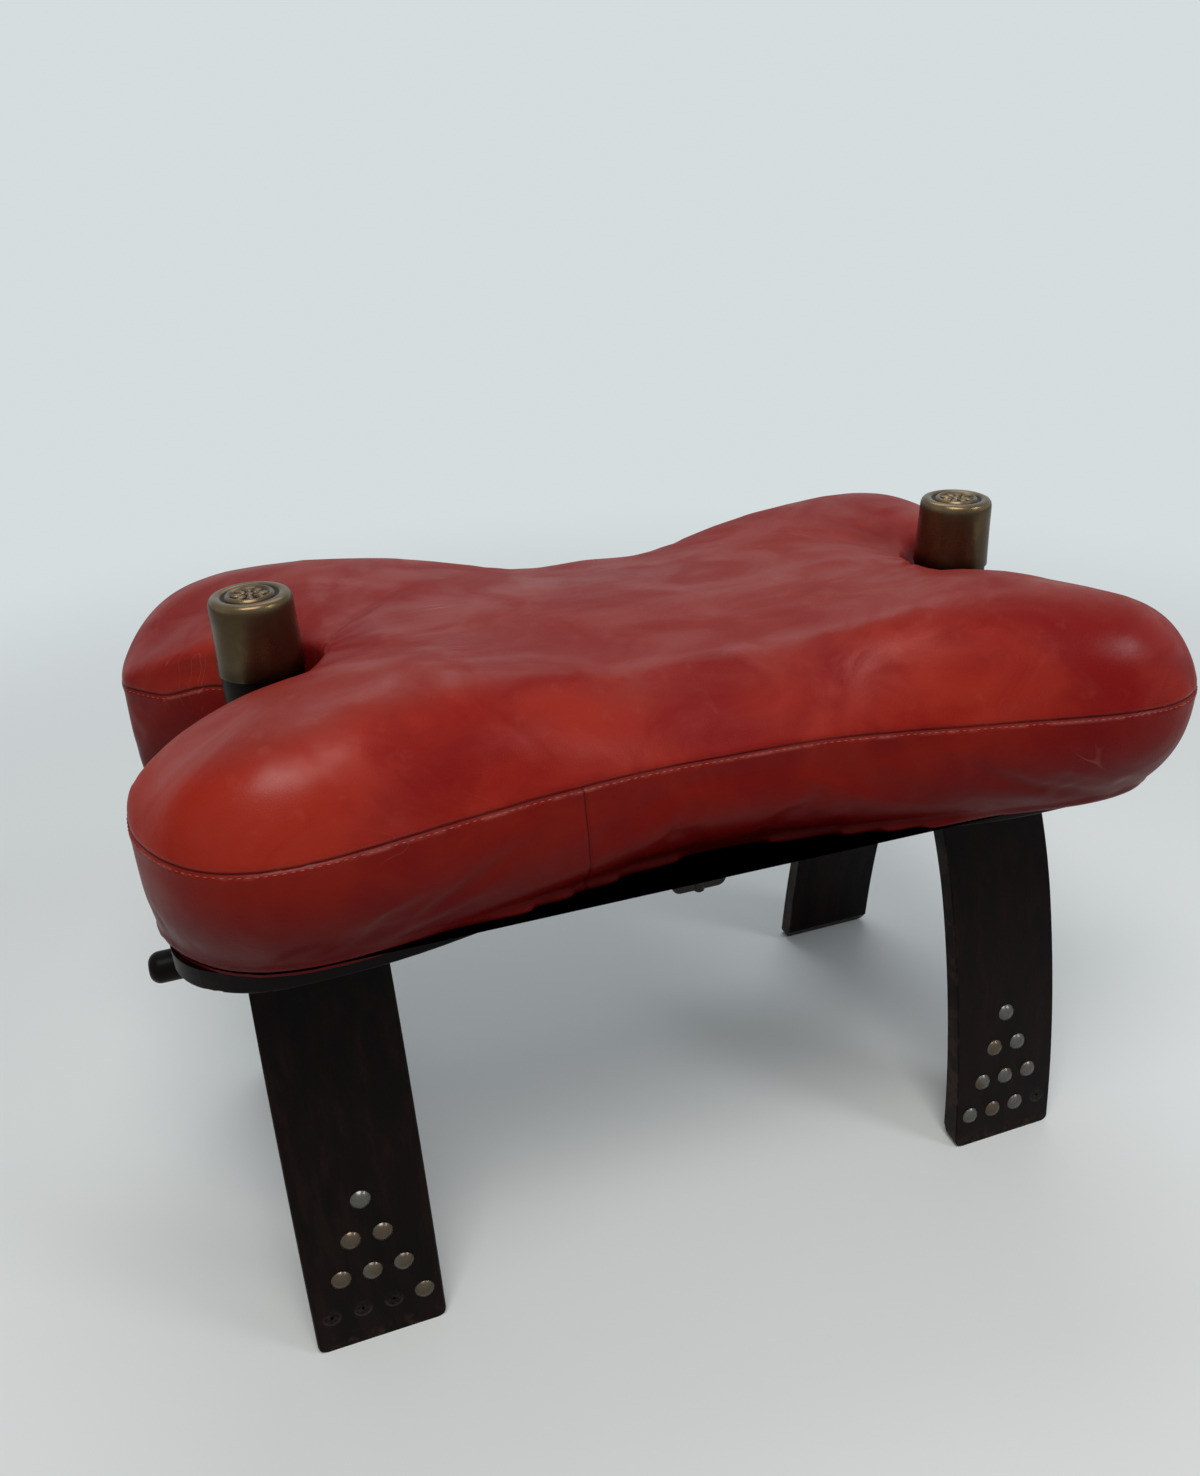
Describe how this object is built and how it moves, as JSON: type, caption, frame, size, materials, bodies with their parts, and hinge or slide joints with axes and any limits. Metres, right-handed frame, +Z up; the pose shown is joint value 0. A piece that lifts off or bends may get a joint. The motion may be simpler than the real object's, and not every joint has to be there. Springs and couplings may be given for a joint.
{
  "type": "camel saddle stool",
  "caption": "Low saddle stool: curved plank legs with dome nails, brass-capped posts, lobed board and a padded leather cushion held by wing nuts.",
  "frame": {"origin": "on the floor under the middle of the seat", "axes": "+Z up, +X along the stool from the left post to the right post, +Y from the front legs to the rear legs"},
  "size_m": [0.722, 0.3932, 0.5],
  "materials": {
    "dark_wood": "near-black brown stain, slight gloss",
    "plywood": "raw plywood",
    "aged_brass": "aged brown brass",
    "nail_metal": "dull old brass",
    "blackened_steel": "dark oxide",
    "steel": "zinc, dull",
    "red_leather": "waxed red leather, worn",
    "filling": "cotton wadding"
  },
  "bodies": {
    "frame": {"leg_front_left": "dark_wood", "leg_front_right": "dark_wood", "leg_rear_left": "dark_wood", "leg_rear_right": "dark_wood", "head_block_left": "dark_wood", "post_left": "dark_wood", "cap_left": "aged_brass", "head_block_right": "dark_wood", "post_right": "dark_wood", "cap_right": "aged_brass", "rod_front": "dark_wood", "rod_rear": "dark_wood", "seat_board": "dark_wood", "leg_dowels": "plywood", "board_screws": "steel", "nails_front_left": "nail_metal", "nails_front_right": "nail_metal", "nails_rear_left": "nail_metal", "nails_rear_right": "nail_metal"},
    "cushion": {"cushion_base": "plywood", "cushion_filling": "filling", "cushion_top_leather": "red_leather", "cushion_band_leather": "red_leather", "bolt_front": "blackened_steel", "bolt_rear": "blackened_steel"},
    "washer_front": {"washer_front": "steel"},
    "wing_nut_front": {"wing_nut_front": "blackened_steel"},
    "washer_rear": {"washer_rear": "steel"},
    "wing_nut_rear": {"wing_nut_rear": "blackened_steel"}
  },
  "joints": [
    {"name": "cushion_lift", "type": "slide", "parent": "frame", "child": "cushion", "axis": [0, 0, 1], "range_m": [0, 0.18]},
    {"name": "washer_front_drop", "type": "slide", "parent": "frame", "child": "washer_front", "axis": [0, 0, -1], "range_m": [0, 0.0225]},
    {"name": "wing_nut_front_turn", "type": "hinge", "parent": "washer_front", "child": "wing_nut_front", "pos_m": [0, -0.112, 0.3084], "axis": [0, 0, -1], "range_deg": [0, 6480]},
    {"name": "washer_rear_drop", "type": "slide", "parent": "frame", "child": "washer_rear", "axis": [0, 0, -1], "range_m": [0, 0.0225]},
    {"name": "wing_nut_rear_turn", "type": "hinge", "parent": "washer_rear", "child": "wing_nut_rear", "pos_m": [0, 0.112, 0.3084], "axis": [0, 0, -1], "range_deg": [0, 6480]}
  ],
  "couplings": [
    {"joint": "washer_front_drop", "follows": "wing_nut_front_turn", "m_per_rad": 0.00019894},
    {"joint": "washer_rear_drop", "follows": "wing_nut_rear_turn", "m_per_rad": 0.00019894}
  ]
}
